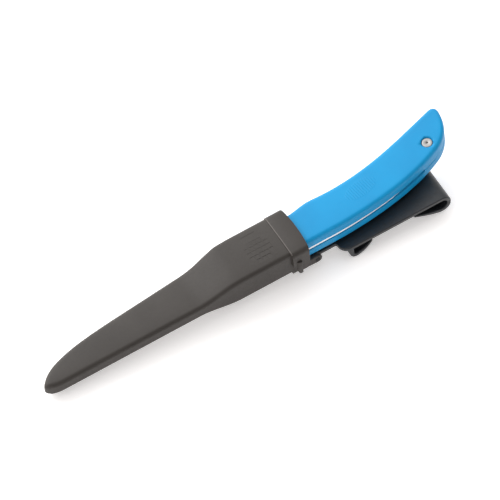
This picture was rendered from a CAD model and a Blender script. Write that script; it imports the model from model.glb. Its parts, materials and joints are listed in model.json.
import json
import math

import bmesh
import bpy
from mathutils import Matrix, Vector
from mathutils.geometry import interpolate_bezier


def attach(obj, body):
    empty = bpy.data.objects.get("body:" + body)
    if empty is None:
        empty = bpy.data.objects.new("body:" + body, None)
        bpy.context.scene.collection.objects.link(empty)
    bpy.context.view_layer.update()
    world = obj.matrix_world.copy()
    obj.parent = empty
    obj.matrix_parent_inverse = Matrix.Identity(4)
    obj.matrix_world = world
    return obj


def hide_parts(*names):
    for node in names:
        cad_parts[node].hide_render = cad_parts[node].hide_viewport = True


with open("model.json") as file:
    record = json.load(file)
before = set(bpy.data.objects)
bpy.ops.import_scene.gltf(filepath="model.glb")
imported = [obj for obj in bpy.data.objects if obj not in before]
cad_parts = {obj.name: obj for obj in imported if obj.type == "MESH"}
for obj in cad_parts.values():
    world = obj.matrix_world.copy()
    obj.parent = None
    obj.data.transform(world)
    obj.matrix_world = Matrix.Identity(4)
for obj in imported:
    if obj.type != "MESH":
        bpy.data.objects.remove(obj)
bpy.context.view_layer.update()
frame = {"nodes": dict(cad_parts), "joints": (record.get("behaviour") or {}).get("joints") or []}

# ---- Sheath ----
# The sheath is one hollow moulding in dark grey polypropylene. It is thick round the handle, slopes
# down to a thin blade section, and ends at the mouth in a raised collar with a curved rim. A thumb tab
# and a fin stand on the collar's near side, a grid of small pockets with a short line beside it lies in
# the front face, and two lugs behind the mouth carry the belt hanger.
# Sizes here and below are millimetres from the middle of the mouth, in the plane of the blade.
mm = 0.001
pivot = Vector((79.7, 10.2, 0))
spike_hinge = next(joint for joint in frame["joints"] if joint["name"] == "spike_hinge")
to_frame = Matrix.Translation(Vector(spike_hinge["pos_m"]) - pivot * mm) @ Matrix.Scale(mm, 4)

sheath_length = 145.6
sheath_wall = 1.6
mouth_half = 8.65
blade_half = 4.25
ramp = (-61, -37)
near_side = -10.2
far_side = [
    (-150, -9), (-145.6, -3.2), (-138, 0.5), (-131, 3.2), (-120, 5.8), (-104, 7.9), (-82, 9.9),
    (-62, 11.7), (-52, 12.5), (-43, 14), (-35, 15.2), (-18, 15.3), (5, 15.3),
]
tip_y = -6.5
tip_round = 9
long_edge = 2.2
collar_length = 9
collar_proud = 0.4
collar_near = 1.7
mouth_bulge = 1.2
face_crown = 0.35
collar_crown = 0.15
hanger_hinge = Vector((5.6, 0.3, -9.9))
lug_radius = 2.6
pin_bore = 1.3


def smooth_line(points, steps=12):
    """A smooth line through hand-set points."""
    points = [Vector((*point, 0)) for point in points]
    line = []
    for i in range(len(points) - 1):
        a, b = points[i], points[i + 1]
        before, after = points[max(i - 1, 0)], points[min(i + 2, len(points) - 1)]
        line += interpolate_bezier(a, a + (b - before) / 6, b - (after - a) / 6, b, steps)[:-1]
    return line + [points[-1]]


def height_at(line, x):
    """The line's Y at an X."""
    for a, b in zip(line, line[1:]):
        if b.x >= x:
            return a.y + (b.y - a.y) * (x - a.x) / (b.x - a.x)
    return line[-1].y


def section_point(turn, low, high, half, radius, crown):
    """The point a share of the way round a rectangle with rounded corners and crowned faces."""
    wide = (high - low) / 2
    radius = min(radius, wide * 0.96, half * 0.96)
    quarter, share = divmod(turn * 4, 1)
    if quarter % 2:
        share = 1 - share
    flat = 0.2
    if share < flat:
        y, z = wide, (half - radius) * share / flat
    elif share < 1 - flat:
        angle = (share - flat) / (1 - 2 * flat) * math.pi / 2
        y = wide - radius + radius * math.cos(angle)
        z = half - radius + radius * math.sin(angle)
    else:
        y, z = (wide - radius) * (1 - share) / flat, half
    z *= 1 - crown / half * (y / wide) ** 2
    sign_y = 1 if quarter in (0, 3) else -1
    sign_z = 1 if quarter in (0, 1) else -1
    return Vector((0, (low + high) / 2 + sign_y * y, sign_z * z))


def loft(stations, sides=60):
    """A closed skin through stations: each is a seat and the section's size there."""
    bm = bmesh.new()
    turn = bm.verts.layers.float.new("turn")
    ring = bmesh.ops.create_circle(bm, segments=sides, radius=1)["verts"]
    for i, vert in enumerate(ring):
        vert[turn] = i / sides
    edges = list(bm.edges)
    for i, (seat, *size) in enumerate(stations):
        if i:
            made = bmesh.ops.extrude_edge_only(bm, edges=edges)["geom"]
            ring = [item for item in made if isinstance(item, bmesh.types.BMVert)]
            held = set(ring)
            edges = [
                item for item in made
                if isinstance(item, bmesh.types.BMEdge) and held.issuperset(item.verts)
            ]
        for vert in ring:
            point = section_point(vert[turn], *size)
            vert.co = seat(point) if callable(seat) else seat @ point
    open_edges = [edge for edge in bm.edges if edge.is_boundary]
    bmesh.ops.holes_fill(bm, edges=open_edges, sides=0)
    bmesh.ops.recalc_face_normals(bm, faces=bm.faces)
    return bm


def prism(outline, low, high, edge=0.0, segments=3, across="Z"):
    """An outline made into a block between two heights, its edges rounded when asked."""
    bm = bmesh.new()
    place = {"Z": lambda x, y: (x, y, low), "Y": lambda x, y: (x, low, y)}[across]
    face = bm.faces.new([bm.verts.new(place(x, y)) for x, y in outline])
    made = bmesh.ops.extrude_face_region(bm, geom=[face])["geom"]
    rise = Vector(place(0, 0)) * 0
    rise["XYZ".index(across)] = high - low
    bmesh.ops.translate(bm, verts=[v for v in made if isinstance(v, bmesh.types.BMVert)], vec=rise)
    bmesh.ops.recalc_face_normals(bm, faces=bm.faces)
    if edge:
        rims = [e for e in bm.edges if e.calc_face_angle(0) > math.radians(30)]
        bmesh.ops.bevel(
            bm, geom=rims, offset=edge, segments=segments, profile=0.5, affect="EDGES", material=-1,
            clamp_overlap=True,
        )
    return bm


def cylinder(radius, low, high, x, y, axis="Z", edge=0.0, sides=48):
    """A round bar along Z or Y, its ends chamfered when asked."""
    bm = bmesh.new()
    bmesh.ops.create_cone(
        bm, cap_ends=True, segments=sides, radius1=radius, radius2=radius, depth=high - low,
    )
    if edge:
        rims = [e for e in bm.edges if e.calc_face_angle(0) > math.radians(60)]
        bmesh.ops.bevel(
            bm, geom=rims, offset=edge, segments=3, profile=0.5, affect="EDGES", material=-1,
        )
    middle = (low + high) / 2
    if axis == "Y":
        bmesh.ops.rotate(bm, verts=bm.verts, matrix=Matrix.Rotation(math.pi / 2, 3, "X"))
        bmesh.ops.translate(bm, verts=bm.verts, vec=(x, middle, y))
    else:
        bmesh.ops.translate(bm, verts=bm.verts, vec=(x, y, middle))
    return bm


def join(*parts):
    """Several meshes as one."""
    whole = bmesh.new()
    for part in parts:
        mesh = bpy.data.meshes.new("part")
        part.to_mesh(mesh)
        part.free()
        whole.from_mesh(mesh)
        bpy.data.meshes.remove(mesh)
    return whole


def piece_from(bm, name):
    """A new object that holds the mesh."""
    mesh = bpy.data.meshes.new(name)
    bm.to_mesh(mesh)
    bm.free()
    piece = bpy.data.objects.new(name, mesh)
    bpy.context.scene.collection.objects.link(piece)
    return piece


def combine(piece, bm, how):
    """Cuts a tool out of a piece, joins it on, or keeps only what both hold."""
    tool = piece_from(bm, "tool")
    step = piece.modifiers.new("step", "BOOLEAN")
    step.object = tool
    step.operation = how
    step.solver = "EXACT"
    graph = bpy.context.evaluated_depsgraph_get()
    made = bpy.data.meshes.new_from_object(piece.evaluated_get(graph))
    piece.modifiers.remove(step)
    piece.data = made
    bpy.data.objects.remove(tool)


def settle(piece, body, slot, material, *nodes, crease=32):
    """Puts a finished piece in the frame, on its body, in its material, for its CAD nodes."""
    mesh = piece.data
    mesh.transform(to_frame)
    for name in [layer.name for layer in mesh.attributes if layer.name == "turn"]:
        mesh.attributes.remove(mesh.attributes[name])
    mesh.polygons.foreach_set("use_smooth", [True] * len(mesh.polygons))
    mesh.set_sharp_from_angle(angle=math.radians(crease))
    mesh.materials.clear()
    mesh.materials.append(material)
    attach(piece, body)
    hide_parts(*nodes)


def colour(code):
    """An sRGB hex colour as a linear one."""
    parts = [int(code[i : i + 2], 16) / 255 for i in (1, 3, 5)]
    return [c / 12.92 if c <= 0.04045 else ((c + 0.055) / 1.055) ** 2.4 for c in parts] + [1]


def add(tree, kind, settings, links=()):
    """Adds a node with its settings, and links from other nodes' outputs into its inputs."""
    made = tree.nodes.new(kind)
    for name, value in settings.items():
        if name in made.inputs:
            made.inputs[name].default_value = value
        else:
            setattr(made, name, value)
    for name, source in dict(links).items():
        tree.links.new(source, made.inputs[name])
    return made


def shade(material, code_low, code_high, mix, surface, bumps):
    """Joins a colour ramp between two shades and a bump to the material's surface."""
    tree = material.node_tree
    ramp_node = add(tree, "ShaderNodeValToRGB", {}, {"Fac": mix})
    ramp_node.color_ramp.elements[0].color = colour(code_low)
    ramp_node.color_ramp.elements[0].position = 0.3
    ramp_node.color_ramp.elements[1].color = colour(code_high)
    ramp_node.color_ramp.elements[1].position = 0.7
    normal = None
    for height, distance in bumps:
        links = {"Height": height}
        if normal:
            links["Normal"] = normal
        bump = add(tree, "ShaderNodeBump", {"Strength": 1, "Distance": distance}, links)
        normal = bump.outputs["Normal"]
    tree.links.new(ramp_node.outputs["Color"], surface.inputs["Base Color"])
    tree.links.new(normal, surface.inputs["Normal"])
    return ramp_node


def start(name, settings):
    """A new material: its tree, its object coordinates and its surface."""
    material = bpy.data.materials.new(name)
    material.use_nodes = True
    tree = material.node_tree
    surface = tree.nodes["Principled BSDF"]
    for key, value in settings.items():
        surface.inputs[key].default_value = value
    coords = add(tree, "ShaderNodeTexCoord", {}).outputs["Object"]
    return material, tree, coords, surface


def noise(tree, scale, detail, vector):
    """A noise texture's value."""
    made = add(tree, "ShaderNodeTexNoise", {"Scale": scale, "Detail": detail}, {"Vector": vector})
    return made.outputs["Fac"]


def stretched(tree, scale, vector):
    """Coordinates stretched by a scale on each axis."""
    return add(tree, "ShaderNodeMapping", {"Scale": scale}, {"Vector": vector}).outputs["Vector"]


def calculate(tree, operation, *values):
    """A maths node's value, from other nodes' outputs and plain numbers."""
    made = add(tree, "ShaderNodeMath", {"operation": operation})
    for socket, value in zip(made.inputs, values):
        if isinstance(value, bpy.types.NodeSocket):
            tree.links.new(value, socket)
        else:
            socket.default_value = value
    return made.outputs["Value"]


def roughen(tree, surface, value, low, high, value_low=0.3, value_high=0.7):
    """Lets the surface's roughness follow a value between two limits."""
    limits = {"From Min": value_low, "From Max": value_high, "To Min": low, "To Max": high}
    rough = add(tree, "ShaderNodeMapRange", limits, {"Value": value})
    tree.links.new(rough.outputs["Result"], surface.inputs["Roughness"])


rubbed_half = 0.22
rubbed_share = 1.6


# Polypropylene, moulded in a spark-eroded steel tool: a dull, warm dark grey with a fine even grain of
# about 0.3 mm, faint flow clouds some 20 mm across, and a soft broad sheen. The collar's step is rubbed
# to a lighter line across the front face.
def sheath_polypropylene():
    material, tree, coords, surface = start(
        "sheath_polypropylene",
        {"Roughness": 0.5, "IOR": 1.49, "Metallic": 0, "Specular IOR Level": 0.42},
    )
    clouds = noise(tree, 50, 3, coords)
    grain = noise(tree, 3300, 2, coords)
    pits = noise(tree, 900, 3, coords)
    roughen(tree, surface, pits, 0.47, 0.55)
    place = add(tree, "ShaderNodeSeparateXYZ", {}, {"Vector": coords}).outputs
    step = to_frame @ Vector((0.15 - collar_length, 0, mouth_half - 0.6))
    at_step = calculate(tree, "COMPARE", place["X"], step.x, rubbed_half * mm)
    on_face = calculate(tree, "GREATER_THAN", place["Z"], step.z)
    rubbed = calculate(tree, "MULTIPLY", at_step, on_face)
    lighter = calculate(tree, "MULTIPLY", rubbed, rubbed_share)
    mix = calculate(tree, "ADD", clouds, lighter)
    ramp_node = shade(
        material, "#322d29", "#38332f", mix, surface, [(grain, 0.00003), (pits, 0.00002)],
    )
    ramp_node.color_ramp.elements.new(0.95).color = colour("#38332f")
    ramp_node.color_ramp.elements.new(1).color = colour("#5a5450")
    return material


far_line = smooth_line(far_side)


def sheath_section(x, inset):
    """The sheath's section at an X, drawn in by the wall for its inside."""
    rise = max(0, min(1, (x - ramp[0]) / (ramp[1] - ramp[0])))
    rise = rise * rise * (3 - 2 * rise)
    close = max(0, min(1, (x + sheath_length - inset) / tip_round))
    swell = math.sqrt(1 - (1 - close) ** 2)
    half = blade_half + (mouth_half - blade_half) * rise - inset
    near = tip_y + (near_side + inset - tip_y) * swell
    far = tip_y + (height_at(far_line, x) - inset - tip_y) * swell
    crown = face_crown + collar_crown * rise if not inset else 0
    return near, far, half * min(1, 0.35 + 0.9 * swell), max(long_edge - inset, 0.8), crown


def sheath_stations(inset):
    """The sheath's stations from its tip to the collar, outside or drawn in for the inside."""
    tip = inset - sheath_length
    xs = [tip + 0.02 + tip_round * (1 - math.cos(math.radians(step * 7.5))) for step in range(12)]
    x = tip + tip_round
    while x < ramp[0]:
        xs.append(x)
        x += 3
    steps = 16
    xs += [ramp[0] + (ramp[1] - ramp[0]) * i / steps for i in range(steps + 1)]
    xs += [-30, -20, -collar_length - 1.8]
    return [(Matrix.Translation((x, 0, 0)), *sheath_section(x, inset)) for x in xs]


def rim_seat(x, share):
    """Seats a ring on the curved rim of the mouth."""
    middle = (near_side - collar_near + far_side[-1][1] + collar_proud) / 2
    reach = far_side[-1][1] + collar_proud - middle + 1
    return lambda p: Vector((x + share * mouth_bulge * (1 - ((p.y - middle) / reach) ** 2), p.y, p.z))


def collar_section(shrink=0.0):
    """The collar's section, a little proud of the sheath's."""
    near, far, half, edge, crown = sheath_section(0, 0)
    return (
        near - collar_near + shrink, far + collar_proud - shrink, half + collar_proud - shrink,
        edge + collar_proud, crown,
    )


inner = sheath_section(0, sheath_wall)
mouth = [
    (rim_seat(-collar_length - 0.35, 0), *sheath_section(0, 0)),
    (rim_seat(-collar_length - 0.05, 0), *collar_section(0.06)),
    (rim_seat(-collar_length + 0.2, 0), *collar_section()),
    (rim_seat(-5, 0), *collar_section()),
    (rim_seat(-0.5, 1), *collar_section()),
    (rim_seat(-0.12, 1), *collar_section(0.12)),
    (rim_seat(0, 1), *collar_section(0.45)),
    (rim_seat(0, 1), inner[0] - 0.25, inner[1] + 0.25, inner[2] + 0.25, inner[3] + 0.2, 0),
    (rim_seat(-0.3, 1), *inner),
    (rim_seat(-5, 0), *inner),
]
sheath = piece_from(
    loft(sheath_stations(0) + mouth + list(reversed(sheath_stations(sheath_wall)))), "sheath_moulding",
)


def lug(low, high):
    """A hinge lug: an arm from the back of the mouth with a round end about the pin."""
    x, z = hanger_hinge.x, hanger_hinge.z
    outline = [(-collar_length, 0.3 - mouth_half), (0, z - lug_radius + 0.4)]
    for step in range(13):
        angle = math.radians(-90 + 15 * step)
        outline.append((x + lug_radius * math.cos(angle), z + lug_radius * math.sin(angle)))
    outline.append((-2, z + lug_radius))
    return prism(outline, low, high, edge=0.35, segments=2, across="Y")


neck_half = 6.8
lug_width = 2
lug_gap = 0.3
fin_side = near_side - collar_near
fin_root = fin_side + 1
fin_top = fin_side - 1.2
fin_low, fin_high = -7, 2
fin = [(-8, fin_root), (-7, fin_side - 0.6), (-6, fin_top), (-4.8, fin_top), (-4.2, fin_root)]
cut_foot = -9.7
cut_rear = -9.9
cut_front = 2
thumb_cuts = [
    [(cut_rear, 1), (cut_rear, cut_foot), (-5.4, cut_foot)],
    [(cut_front, 0), (cut_front, cut_foot), (-3.2, cut_foot)],
]
lug_near = hanger_hinge.y - neck_half - lug_gap
lug_far = hanger_hinge.y + neck_half + lug_gap
combine(
    sheath,
    join(
        lug(lug_near - lug_width, lug_near),
        lug(lug_far, lug_far + lug_width),
        prism(fin, fin_low, fin_high, edge=0.25, segments=2),
    ),
    "UNION",
)

panel_x, panel_y = -20.6, 0.4
panel_side = 12
panel_depth = 0.09
pocket_half = 1.15
pocket_corner = 0.35
pocket_pitch = panel_side / 5 + 0.25


def sunk_block(x0, x1, y0, y1, corner):
    """A shallow pocket in the crowned front face, with rounded corners."""
    near, far, half, edge, crown = sheath_section(0, 0)
    depth = panel_depth + crown * (((y0 + y1) - (near + far)) / (far - near)) ** 2
    outline = []
    for cx, cy, turn in ((x1, y1, 0), (x0, y1, 90), (x0, y0, 180), (x1, y0, 270)):
        inward = math.radians(turn + 45)
        ox = cx - math.copysign(corner, math.cos(inward))
        oy = cy - math.copysign(corner, math.sin(inward))
        for step in range(5):
            angle = math.radians(turn + 22.5 * step)
            outline.append((ox + corner * math.cos(angle), oy + corner * math.sin(angle)))
    return prism(outline, mouth_half - depth, mouth_half + 2)


def pocket(i, j):
    """One pocket of the panel's five by five."""
    x = panel_x + i * pocket_pitch
    y = panel_y + j * pocket_pitch
    return sunk_block(x - pocket_half, x + pocket_half, y - pocket_half, y + pocket_half, pocket_corner)


line_start, line_end = panel_x - 4.6, panel_x + 3.4
line_near = panel_y + panel_side / 2 + 4
line_wide = 0.8
line_corner = 0.3
combine(
    sheath,
    join(
        cylinder(pin_bore, -20, 20, hanger_hinge.x, hanger_hinge.z, axis="Y"),
        *[prism(cut, fin_side - 2, near_side - 0.02, across="Y") for cut in thumb_cuts],
        *[pocket(i, j) for i in range(-2, 3) for j in range(-2, 3) if abs(i) + abs(j) < 4],
        sunk_block(line_start, line_end, line_near, line_near + line_wide, line_corner),
    ),
    "DIFFERENCE",
)
settle(sheath, "sheath", "sheath_plastic", sheath_polypropylene(), "sheath_body")

# ---- Hinge pin ----
# The hanger turns on a plain blackened steel pin, pressed into the lugs with its ends chamfered.


# Blackened steel: a dark oxide skin with faint lighter rubs where it has worn.
def blackened_steel():
    material, tree, coords, surface = start("blackened_steel", {"Roughness": 0.5, "Metallic": 1})
    rubs = noise(tree, 900, 4, coords)
    roughen(tree, surface, rubs, 0.42, 0.6, 0, 1)
    shade(material, "#2c2d2e", "#3b3c3d", rubs, surface, [(rubs, 0.000008)])
    return material


pin_reach = neck_half + lug_gap + lug_width
pin_radius = 1.2
hanger_pin = piece_from(
    cylinder(
        pin_radius, hanger_hinge.y - pin_reach, hanger_hinge.y + pin_reach, hanger_hinge.x, hanger_hinge.z,
        axis="Y", edge=0.25,
    ),
    "hinge_pin",
)
settle(hanger_pin, "sheath", "pin_steel", blackened_steel(), "hanger_pin")

# ---- Belt hanger ----
# The hanger is one black moulding: a knuckle on the pin, a narrow neck, a wide plate, and two hooks
# under it that take the edges of a belt. Its section is an even strip with eased edges, and the hooks'
# legs thin out to a lip.
plate_top = -8.9
plate_stock = 2.2
plate_half = 13
plate_start = 17.5
plate_end = 78.4
plate_corner = 5
hook_corner = 0.8
lip = 0.9
lip_gap = 0.35
upper_depth = 10.6
upper_tip = 58
lower_x = 22.6
lower_depth = 9.4
lower_tip = 33.8
lower_radius = 2.6
leg_bow = 1


def hook_line(turn_x, turn_z, radius, tip_x, start_angle, bow):
    """A hook's centre line: a round turn under the plate, then a bowed leg back up to its lip."""
    end = Vector((tip_x, plate_top - plate_stock - lip_gap - lip / 2))
    away = end - Vector((turn_x, turn_z))
    tangent = math.degrees(math.acos(radius / away.length))
    toward = math.degrees(math.atan2(away.y, away.x))
    leave = toward + tangent - 360 if tip_x < turn_x else toward - tangent + 360
    steps = 24
    turn = []
    for i in range(steps + 1):
        angle = math.radians(start_angle + (leave - start_angle) * i / steps)
        turn.append(Vector((turn_x + radius * math.cos(angle), turn_z + radius * math.sin(angle))))
    foot = turn[-1]
    bend = (foot + end) / 2 - Vector((0, bow))
    leg = []
    for i in range(1, 15):
        t = i / 14
        leg.append(foot * (1 - t) ** 2 + bend * 2 * t * (1 - t) + end * t * t)
    return turn, leg


def strap(line, stocks, halves):
    """A strip along a line in X and Z, with its thickness and half width at each point."""
    stations = []
    for i, point in enumerate(line):
        along = (line[min(i + 1, len(line) - 1)] - line[max(i - 1, 0)]).normalized()
        seat = Matrix.Translation((point.x, hanger_hinge.y, point.y)) @ Matrix(
            ((along.x, 0, -along.y, 0), (0, 1, 0, 0), (along.y, 0, along.x, 0), (0, 0, 0, 1)),
        )
        stations.append((seat, -halves[i], halves[i], stocks[i] / 2, min(0.55, stocks[i] * 0.45), 0))
    return stations


def plan_half(x):
    """Half the hanger's width at an X: its neck, the inner fillet and the round corner."""
    if x < plate_start - 1:
        return neck_half
    if x < plate_start:
        return neck_half + 1 - math.sqrt(max(0, 1 - (x - plate_start + 1) ** 2))
    if x < plate_start + plate_corner:
        side = 1 - (x - plate_start) / plate_corner
        return plate_half - plate_corner + plate_corner * math.sqrt(1 - side * side)
    if x > plate_end - hook_corner:
        side = min(1, (x - plate_end + hook_corner) / hook_corner)
        return plate_half - hook_corner + hook_corner * math.sqrt(1 - side * side)
    return plate_half


def hook_stocks(line, leg):
    """The strip's thickness along a line that ends in a hook's leg, thinning out to the lip."""
    even = [plate_stock] * (len(line) - len(leg))
    return even + [plate_stock + (lip - plate_stock) * (i + 1) / len(leg) for i in range(len(leg))]


mid = plate_top - plate_stock / 2
upper_radius = (upper_depth - plate_stock) / 2
upper_x = plate_end - upper_radius - plate_stock / 2
upper_turn, upper_leg = hook_line(upper_x, mid - upper_radius, upper_radius, upper_tip, 90, leg_bow)
straight = [hanger_hinge.x, 10, 14, 16.2]
straight += [plate_start - 1 + i / 6 for i in range(7)]
straight += [plate_start + 0.01 + plate_corner * (1 - math.cos(math.radians(9 * i))) for i in range(11)]
straight += [30, 45, 60, upper_turn[0].x - 2]
upper_line = [Vector((x, mid)) for x in straight] + upper_turn + upper_leg
halves = [plan_half(x) for x in straight]
for point in upper_turn:
    lean = (point.x - plate_end + upper_radius + plate_stock / 2) / upper_radius
    halves.append(plan_half(point.x + lean * (plate_stock / 2 - 0.15)))
halves += [plate_half] * len(upper_leg)
hanger = piece_from(
    loft(strap(upper_line, hook_stocks(upper_line, upper_leg), halves)), "belt_hanger_moulding",
)

lower_turn, lower_leg = hook_line(
    lower_x + lower_radius, plate_top - lower_depth + plate_stock / 2 + lower_radius, lower_radius,
    lower_tip, 180, 2 * leg_bow,
)
lower_line = [Vector((lower_x, mid))] + lower_turn + lower_leg
lower_stocks = hook_stocks(lower_line, lower_leg)
combine(hanger, loft(strap(lower_line, lower_stocks, [plate_half] * len(lower_line))), "UNION")
combine(
    hanger,
    cylinder(
        lug_radius, hanger_hinge.y - neck_half, hanger_hinge.y + neck_half, hanger_hinge.x,
        hanger_hinge.z, axis="Y", edge=0.3,
    ),
    "UNION",
)
combine(hanger, cylinder(pin_bore, -20, 20, hanger_hinge.x, hanger_hinge.z, axis="Y"), "DIFFERENCE")


# Carbon-black polyamide from a smooth tool: blue-black and satin, so its edges catch the light, with
# a fine grain and the faint scuffs that a belt leaves.
def hanger_polyamide():
    material, tree, coords, surface = start(
        "hanger_polyamide", {"Roughness": 0.42, "IOR": 1.53, "Metallic": 0},
    )
    clouds = noise(tree, 60, 3, coords)
    grain = noise(tree, 2600, 3, coords)
    scuffs = noise(tree, 1, 2, stretched(tree, (300, 2500, 300), coords))
    roughen(tree, surface, scuffs, 0.36, 0.5, 0.35)
    shade(material, "#14181c", "#1a1e23", clouds, surface, [(grain, 0.00003)])
    return material


settle(hanger, "hanger", "hanger_plastic", hanger_polyamide(), "belt_hanger")

# ---- Blade ----
# A flat sheet of stainless steel, blanked, pierced for its rivets, ground to an edge on both faces and
# serrated near the heel. Its tang lies between the handle's shells.


# Stainless steel, ground along the blade: pale, with fine parallel lines about 0.1 mm apart, drawn a
# little coarser so that they show, and a sheen stretched across them.
def ground_stainless():
    material, tree, coords, surface = start("ground_stainless", {"Roughness": 0.3, "Metallic": 1})
    lines = noise(tree, 1, 4, stretched(tree, (120, 5000, 5000), coords))
    clouds = noise(tree, 120, 3, coords)
    roughen(tree, surface, lines, 0.24, 0.42)
    shade(material, "#949698", "#9b9d9f", clouds, surface, [(lines, 0.00001)])
    return material


ground = ground_stainless()


def dress(node, material):
    """Gives a CAD node that stays its material."""
    piece = frame["nodes"][node]
    piece.data.materials.clear()
    piece.data.materials.append(material)


dress("blade", ground)

# ---- Handle ----
# Two mirrored shells in blue polypropylene, moulded with the rooms for the tang, the spring and the
# spike. The grip curves up to a fish-tail butt, its faces are slightly crowned and its edges full and
# round. A plain oval of faint ribs stands in the middle of each face.
handle_half = 6.8
handle_edge = 2.1
handle_crown = 0.15
full_width = 18
thin_drop = 1.7
skin = 0.08
parting = 0.05
butt = (93, 25.7)


def bezier(points, steps):
    """Points along one cubic curve."""
    return [Vector(p[:2]) for p in interpolate_bezier(*[Vector((*p, 0)) for p in points], steps)]


def by_length(line, count):
    """Points at equal steps along a line."""
    lengths = [0]
    for a, b in zip(line, line[1:]):
        lengths.append(lengths[-1] + (b - a).length)
    made = []
    k = 0
    for i in range(count):
        want = lengths[-1] * i / (count - 1)
        while k < len(line) - 2 and lengths[k + 1] < want:
            k += 1
        share = (want - lengths[k]) / (lengths[k + 1] - lengths[k])
        made.append(line[k].lerp(line[k + 1], min(share, 1)))
    return made


front_count = 24
rear_count = 72
back_line = [(20, -7.5), (48, -6.8), (70, -1.6), (83, 5.2)]
tail_line = [(83, 5.2), (89.8, 8.9), (93.3, 15.2), (93.9, 22.4)]
tail_tip = [(93.9, 22.4), (94.05, 23.8), (93.7, 25), butt]
belly_line = [(17, 13.5), (46, 11.4), (72, 21.6), (89.8, 26.4)]
belly_tip = [(89.8, 26.4), (91.2, 26.75), (92.3, 26.45), butt]
shoulder = [(-1, 11.8), (7, 11.8), (9, 14), (17, 13.5)]
back_front = by_length([Vector((-25, -7.6)), Vector((17, -7.51))], front_count)
belly_front = by_length([Vector((-25, 11.8))] + bezier(shoulder, 20), front_count)
back_rear = by_length(
    [Vector((17, -7.51))] + bezier(back_line, 60) + bezier(tail_line, 40)[1:] + bezier(tail_tip, 12)[1:],
    rear_count,
)
belly_rear = by_length(bezier(belly_line, 60) + bezier(belly_tip, 12)[1:], rear_count)
rails = list(zip(back_front, belly_front)) + list(zip(back_rear, belly_rear))[1:-1]

handle_stations = []
for back, belly in rails:
    width = (belly - back).length
    across = (belly - back) / width
    narrow = min(1, width / 2 / handle_edge)
    half = handle_half - skin - thin_drop * (1 - math.sqrt(1 - (1 - narrow) ** 2))
    middle = (back + belly) / 2
    seat = Matrix.Translation((middle.x, middle.y, 0)) @ Matrix(
        ((across.y, across.x, 0, 0), (-across.x, across.y, 0, 0), (0, 0, 1, 0), (0, 0, 0, 1)),
    )
    reach = width / 2 - skin
    crown = handle_crown * min(1, width / full_width)
    handle_stations.append((seat, -reach, reach, half, handle_edge, crown))
whole = loft(handle_stations, sides=72)
bmesh.ops.bisect_plane(
    whole, geom=whole.verts[:] + whole.edges[:] + whole.faces[:], plane_co=(0, 0, parting),
    plane_no=(0, 0, 1), clear_inner=True,
)
bmesh.ops.holes_fill(whole, edges=[edge for edge in whole.edges if edge.is_boundary], sides=0)
bmesh.ops.recalc_face_normals(whole, faces=whole.faces)
upper = piece_from(whole, "grip_upper")

# The rooms inside come from the CAD shell. Its sunk oval is filled first, because the oval here is a
# relief in the material.
rooms = bmesh.new()
rooms.from_mesh(frame["nodes"]["handle_shell_upper"].data)
bmesh.ops.remove_doubles(rooms, verts=rooms.verts, dist=1e-6)
bmesh.ops.transform(rooms, matrix=to_frame.inverted(), verts=rooms.verts)
oval_middle = Vector((39, 5, 0))
oval_size = (9, 4.4)
oval_turn = 8
upright = Matrix.Rotation(math.radians(-oval_turn), 3, "Z")
for vert in rooms.verts:
    reach = upright @ (vert.co - oval_middle)
    inside = (reach.x / oval_size[0]) ** 2 + (reach.y / oval_size[1]) ** 2 < 1.05
    if inside and 0.05 < handle_half - vert.co.z < 0.5:
        vert.co.z = handle_half + 0.3
combine(upper, rooms, "INTERSECT")

mirrored = bmesh.new()
mirrored.from_mesh(upper.data)
bmesh.ops.scale(mirrored, verts=mirrored.verts, vec=(1, 1, -1))
bmesh.ops.reverse_faces(mirrored, faces=mirrored.faces)
lower = piece_from(mirrored, "grip_lower")


# Polypropylene in a bright sky blue: satin, a little translucent at its edges, with a fine moulded
# grain of about 0.3 mm, faint flow clouds, and small scuffs from use.
def grip_polypropylene():
    material, tree, coords, surface = start(
        "grip_polypropylene",
        {"Roughness": 0.5, "IOR": 1.49, "Metallic": 0, "Specular IOR Level": 0.3},
    )
    clouds = noise(tree, 45, 3, coords)
    grain = noise(tree, 3000, 2, coords)
    scuffs = noise(tree, 700, 4, coords)
    roughen(tree, surface, scuffs, 0.38, 0.52)
    level = add(tree, "ShaderNodeMapping", {"vector_type": "TEXTURE"}, {"Vector": coords})
    level.inputs["Location"].default_value = to_frame @ oval_middle
    level.inputs["Rotation"].default_value = (0, 0, math.radians(oval_turn))
    level.inputs["Scale"].default_value = (oval_size[0] * mm, oval_size[1] * mm, 1000)
    flat = level.outputs["Vector"]
    away = add(tree, "ShaderNodeVectorMath", {"operation": "LENGTH"}, {"Vector": flat})
    oval = add(
        tree, "ShaderNodeMapRange", {"From Min": 1.02, "From Max": 0.94, "To Min": 0, "To Max": 1},
        {"Value": away.outputs["Value"]},
    )
    ribs = add(tree, "ShaderNodeTexWave", {"Scale": 2.2, "Distortion": 2}, {"Vector": flat})
    relief = calculate(tree, "MULTIPLY", oval.outputs["Result"], ribs.outputs["Fac"])
    shade(
        material, "#008ac2", "#0092ca", clouds, surface, [(grain, 0.00003), (relief, 0.00009)],
    )
    return material


grip = grip_polypropylene()
settle(upper, "knife", "handle_plastic", grip, "handle_shell_upper")
settle(lower, "knife", "handle_plastic", grip, "handle_shell_lower")

# ---- Tang rivets and spring pins ----
# Two-piece rivets clamp the shells on the tang: a tubular barrel from above and a cap from below. Two
# plain pins hold the spring's front end. They lie inside the sheath's mouth.


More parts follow.
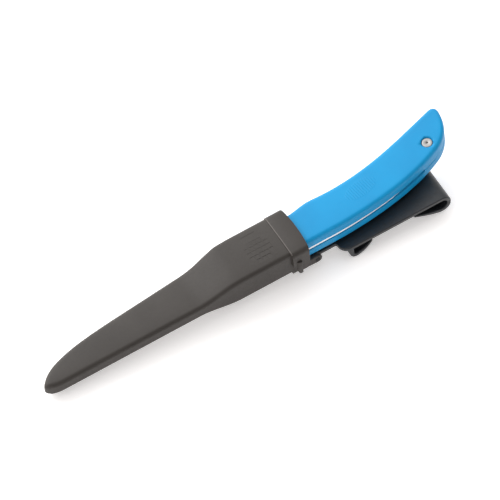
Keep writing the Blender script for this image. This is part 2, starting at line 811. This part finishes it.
# Nickel plate over barrelled steel: satin, slightly warm, with fine tumbling marks.
def nickel_plate():
    material, tree, coords, surface = start("nickel_plate", {"Roughness": 0.3, "Metallic": 1})
    marks = noise(tree, 2500, 4, coords)
    clouds = noise(tree, 400, 2, coords)
    roughen(tree, surface, marks, 0.4, 0.55, 0, 1)
    shade(material, "#959492", "#a4a3a1", clouds, surface, [(marks, 0.000008)])
    return material


plated = nickel_plate()
for node in (
    "rivet_front_barrel", "rivet_front_cap", "rivet_rear_barrel", "rivet_rear_cap", "spring_pin_front",
    "spring_pin_rear",
):
    dress(node, plated)

# ---- Spring ----
# The slip-joint spring is a blanked and tumbled strip of spring steel. It lies edge on in the slot
# along the handle's back, thins towards its free end, and presses there on the spike's root.
spring_half = 1
spring_depth = 3.9
spring_tail = 2.6
spring_edge = 0.75
spring_inset = 0.2
spring_front = -18.6
spring_dive = 53


# Spring steel, tumbled after blanking: pale and matt, with fine lines along its length.
def tumbled_spring_steel():
    material, tree, coords, surface = start("tumbled_spring_steel", {"Roughness": 0.62, "Metallic": 1})
    lines = noise(tree, 1, 3, stretched(tree, (200, 200, 4000), coords))
    clouds = noise(tree, 150, 2, coords)
    shade(material, "#e9ecef", "#f4f6f8", clouds, surface, [(lines, 0.000012)])
    return material


deep = spring_inset + spring_depth / 2
toward = Vector((-0.82, -0.57)).normalized()
pivot_plan = Vector((pivot.x, pivot.y))
spring_line = by_length([Vector((spring_front, -7.6 + deep)), Vector((19, -7.5 + deep))], 12)
spring_line += [p + Vector((0, deep)) for p in bezier(back_line, 60) if p.x < spring_dive]
last = spring_line[-1]
bend = [last, last + Vector((4, 1.2)), pivot_plan + toward * 17, pivot_plan + toward * 14.4]
spring_line += bezier(bend, 16)[1:]
spring_line += [pivot_plan + toward * reach for reach in (11, 8, 5.9)]
spring_stations = []
for i, point in enumerate(spring_line):
    along = (spring_line[min(i + 1, len(spring_line) - 1)] - spring_line[max(i - 1, 0)]).normalized()
    depth = spring_depth + (spring_tail - spring_depth) * i / (len(spring_line) - 1)
    seat = Matrix.Translation((point.x, point.y, 0)) @ Matrix(
        ((along.x, -along.y, 0, 0), (along.y, along.x, 0, 0), (0, 0, 1, 0), (0, 0, 0, 1)),
    )
    spring_stations.append((seat, -depth / 2, depth / 2, spring_half, spring_edge, 0))
spring = piece_from(loft(spring_stations, sides=40), "slip_spring")
settle(spring, "knife", "spring_steel", tumbled_spring_steel(), "backspring")

# ---- Marlinspike ----
# A round spike turned from stainless bar, tapering to a blunt point, with a flat root that turns on
# the pivot between two brass washers.
dress("marlinspike", ground)


# Sheet brass, blanked: dull yellow with faint rolling lines.
def sheet_brass():
    material, tree, coords, surface = start("sheet_brass", {"Roughness": 0.4, "Metallic": 1})
    clouds = noise(tree, 300, 3, coords)
    lines = noise(tree, 1, 2, stretched(tree, (300, 6000, 300), coords))
    shade(material, "#a98c4c", "#bda05e", clouds, surface, [(lines, 0.00001)])
    return material


brass = sheet_brass()
dress("pivot_washer_upper", brass)
dress("pivot_washer_lower", brass)
dress("pivot_cap", plated)

# ---- Pivot rivet ----
# The spike turns on a two-piece rivet. Its visible head is slightly domed, sits just below the grip's
# face in a round seat, and has a small centre mark from the riveting tool.
head_radius = 2.7
head_top = 6.4
head_under = head_top - 0.9
barrel_radius = 1.75
barrel_bore = 0.96
barrel_end = -5.2
bore_top = head_top - 1.9
head_profile = [
    (0, head_top - 0.85), (0.5, head_top - 0.8), (0.6, head_top - 0.16), (0.85, head_top - 0.1),
    (1.1, head_top - 0.01), (2.1, head_top), (2.45, head_top - 0.03), (2.62, head_top - 0.16),
    (head_radius, head_top - 0.6), (head_radius, head_under), (barrel_radius, head_under),
    (barrel_radius, barrel_end), (barrel_bore, barrel_end), (barrel_bore, bore_top), (0, bore_top),
]


def turned(profile, x, y, steps=64):
    """A profile of radius and height, turned about a Z axis."""
    bm = bmesh.new()
    verts = [bm.verts.new((r, 0, z)) for r, z in profile]
    edges = [bm.edges.new(pair) for pair in zip(verts, verts[1:])]
    bmesh.ops.spin(
        bm, geom=verts + edges, cent=(0, 0, 0), axis=(0, 0, 1), angle=math.tau, steps=steps,
        use_merge=True,
    )
    bmesh.ops.remove_doubles(bm, verts=bm.verts, dist=1e-4)
    bmesh.ops.recalc_face_normals(bm, faces=bm.faces)
    bmesh.ops.translate(bm, verts=bm.verts, vec=(x, y, 0))
    return bm


barrel = piece_from(turned(head_profile, pivot.x, pivot.y), "pivot_rivet")
settle(barrel, "knife", "rivet_steel", plated, "pivot_barrel", crease=40)

# ---- Table, light and camera ----
# The knife lies on its sheath's tip and the hanger's upper hook, so the table is tilted to it. The table
# is white acrylic lit from below, and it is clear when seen from below. A large soft light stands high
# behind it, and the room is brightest there and dim in front, so that the front edges fall dark. The
# lengths from here on are metres.
tilt = 3.9
table = Matrix.Rotation(math.radians(tilt), 4, "Y")
up = table @ Vector((0, 0, 1))
lowest = min(up.dot(v.co) for node in frame["nodes"].values() for v in node.data.vertices)

floor_seat = Matrix.Translation(up * (lowest - 0.0001)) @ table
floor_mesh = bmesh.new()
bmesh.ops.create_grid(floor_mesh, x_segments=1, y_segments=1, size=3)
bmesh.ops.transform(floor_mesh, matrix=floor_seat, verts=floor_mesh.verts)
floor = piece_from(floor_mesh, "table_top")
acrylic = bpy.data.materials.new("lit_acrylic")
acrylic.use_nodes = True
acrylic_surface = acrylic.node_tree.nodes["Principled BSDF"]
acrylic_surface.inputs["Base Color"].default_value = colour("#f6f3f2")
acrylic_surface.inputs["Roughness"].default_value = 0.8
acrylic_surface.inputs["Emission Color"].default_value = (1, 0.98, 0.97, 1)
acrylic_surface.inputs["Emission Strength"].default_value = 0.38
seen = add(acrylic.node_tree, "ShaderNodeNewGeometry", {})
from_above = calculate(acrylic.node_tree, "SUBTRACT", 1, seen.outputs["Backfacing"])
acrylic.node_tree.links.new(from_above, acrylic_surface.inputs["Alpha"])
floor.data.materials.append(acrylic)


def soft_light(name, toward, distance, size, power):
    """A rectangular light that faces the origin of the frame."""
    light = bpy.data.lights.new(name, "AREA")
    light.shape = "RECTANGLE"
    light.size, light.size_y = size
    light.energy = power
    lamp = bpy.data.objects.new(name, light)
    bpy.context.scene.collection.objects.link(lamp)
    place = (table @ Vector(toward)).normalized()
    lamp.location = place * distance
    lamp.rotation_mode = "QUATERNION"
    lamp.rotation_quaternion = place.to_track_quat("Z", "Y")


soft_light("key", (-0.35, 0.9, 0.9), 1.6, (1.3, 1.0), 10)

world = bpy.data.worlds.new("room")
world.use_nodes = True
sky = world.node_tree
behind = (table @ Vector((-0.35, 0.85, 0.5))).normalized()
view_way = add(sky, "ShaderNodeTexCoord", {}).outputs["Generated"]
facing = add(sky, "ShaderNodeVectorMath", {"operation": "DOT_PRODUCT"}, {"Vector": view_way})
facing.inputs[1].default_value = behind
glow = add(
    sky, "ShaderNodeMapRange",
    {"interpolation_type": "SMOOTHSTEP", "From Min": -0.1, "From Max": 1, "To Min": 0.42, "To Max": 2},
    {"Value": facing.outputs["Value"]},
)
sky.nodes["Background"].inputs["Color"].default_value = (1, 1, 1, 1)
sky.links.new(glow.outputs["Result"], sky.nodes["Background"].inputs["Strength"])
bpy.context.scene.world = world
bpy.context.scene.view_settings.view_transform = "Standard"
bpy.context.scene.view_settings.look = "None"

azimuth = math.radians(-31)
elevation = math.radians(55)
frame_width = 0.2404
lens = 1500
aim_left, aim_down = 0.0221, 0.00947
level_out = math.cos(elevation)
back = table @ Vector((
    math.sin(azimuth) * level_out, -math.cos(azimuth) * level_out, math.sin(elevation),
))
right = table @ Vector((math.cos(azimuth), math.sin(azimuth), 0))
rise = back.cross(right)
aim = to_frame @ Vector((0, 0.35, mouth_half)) - right * aim_left - rise * aim_down
camera_data = bpy.data.cameras.new("camera")
camera_data.lens = lens
camera_data.clip_start = 0.1
camera_data.clip_end = 100
distance = frame_width / 2 / math.tan(math.atan(camera_data.sensor_width / 2 / lens))
camera = bpy.data.objects.new("camera", camera_data)
bpy.context.scene.collection.objects.link(camera)
camera_turn = Matrix((right, rise, back)).transposed().to_4x4()
camera.matrix_world = Matrix.Translation(aim + back * distance) @ camera_turn
bpy.context.scene.camera = camera
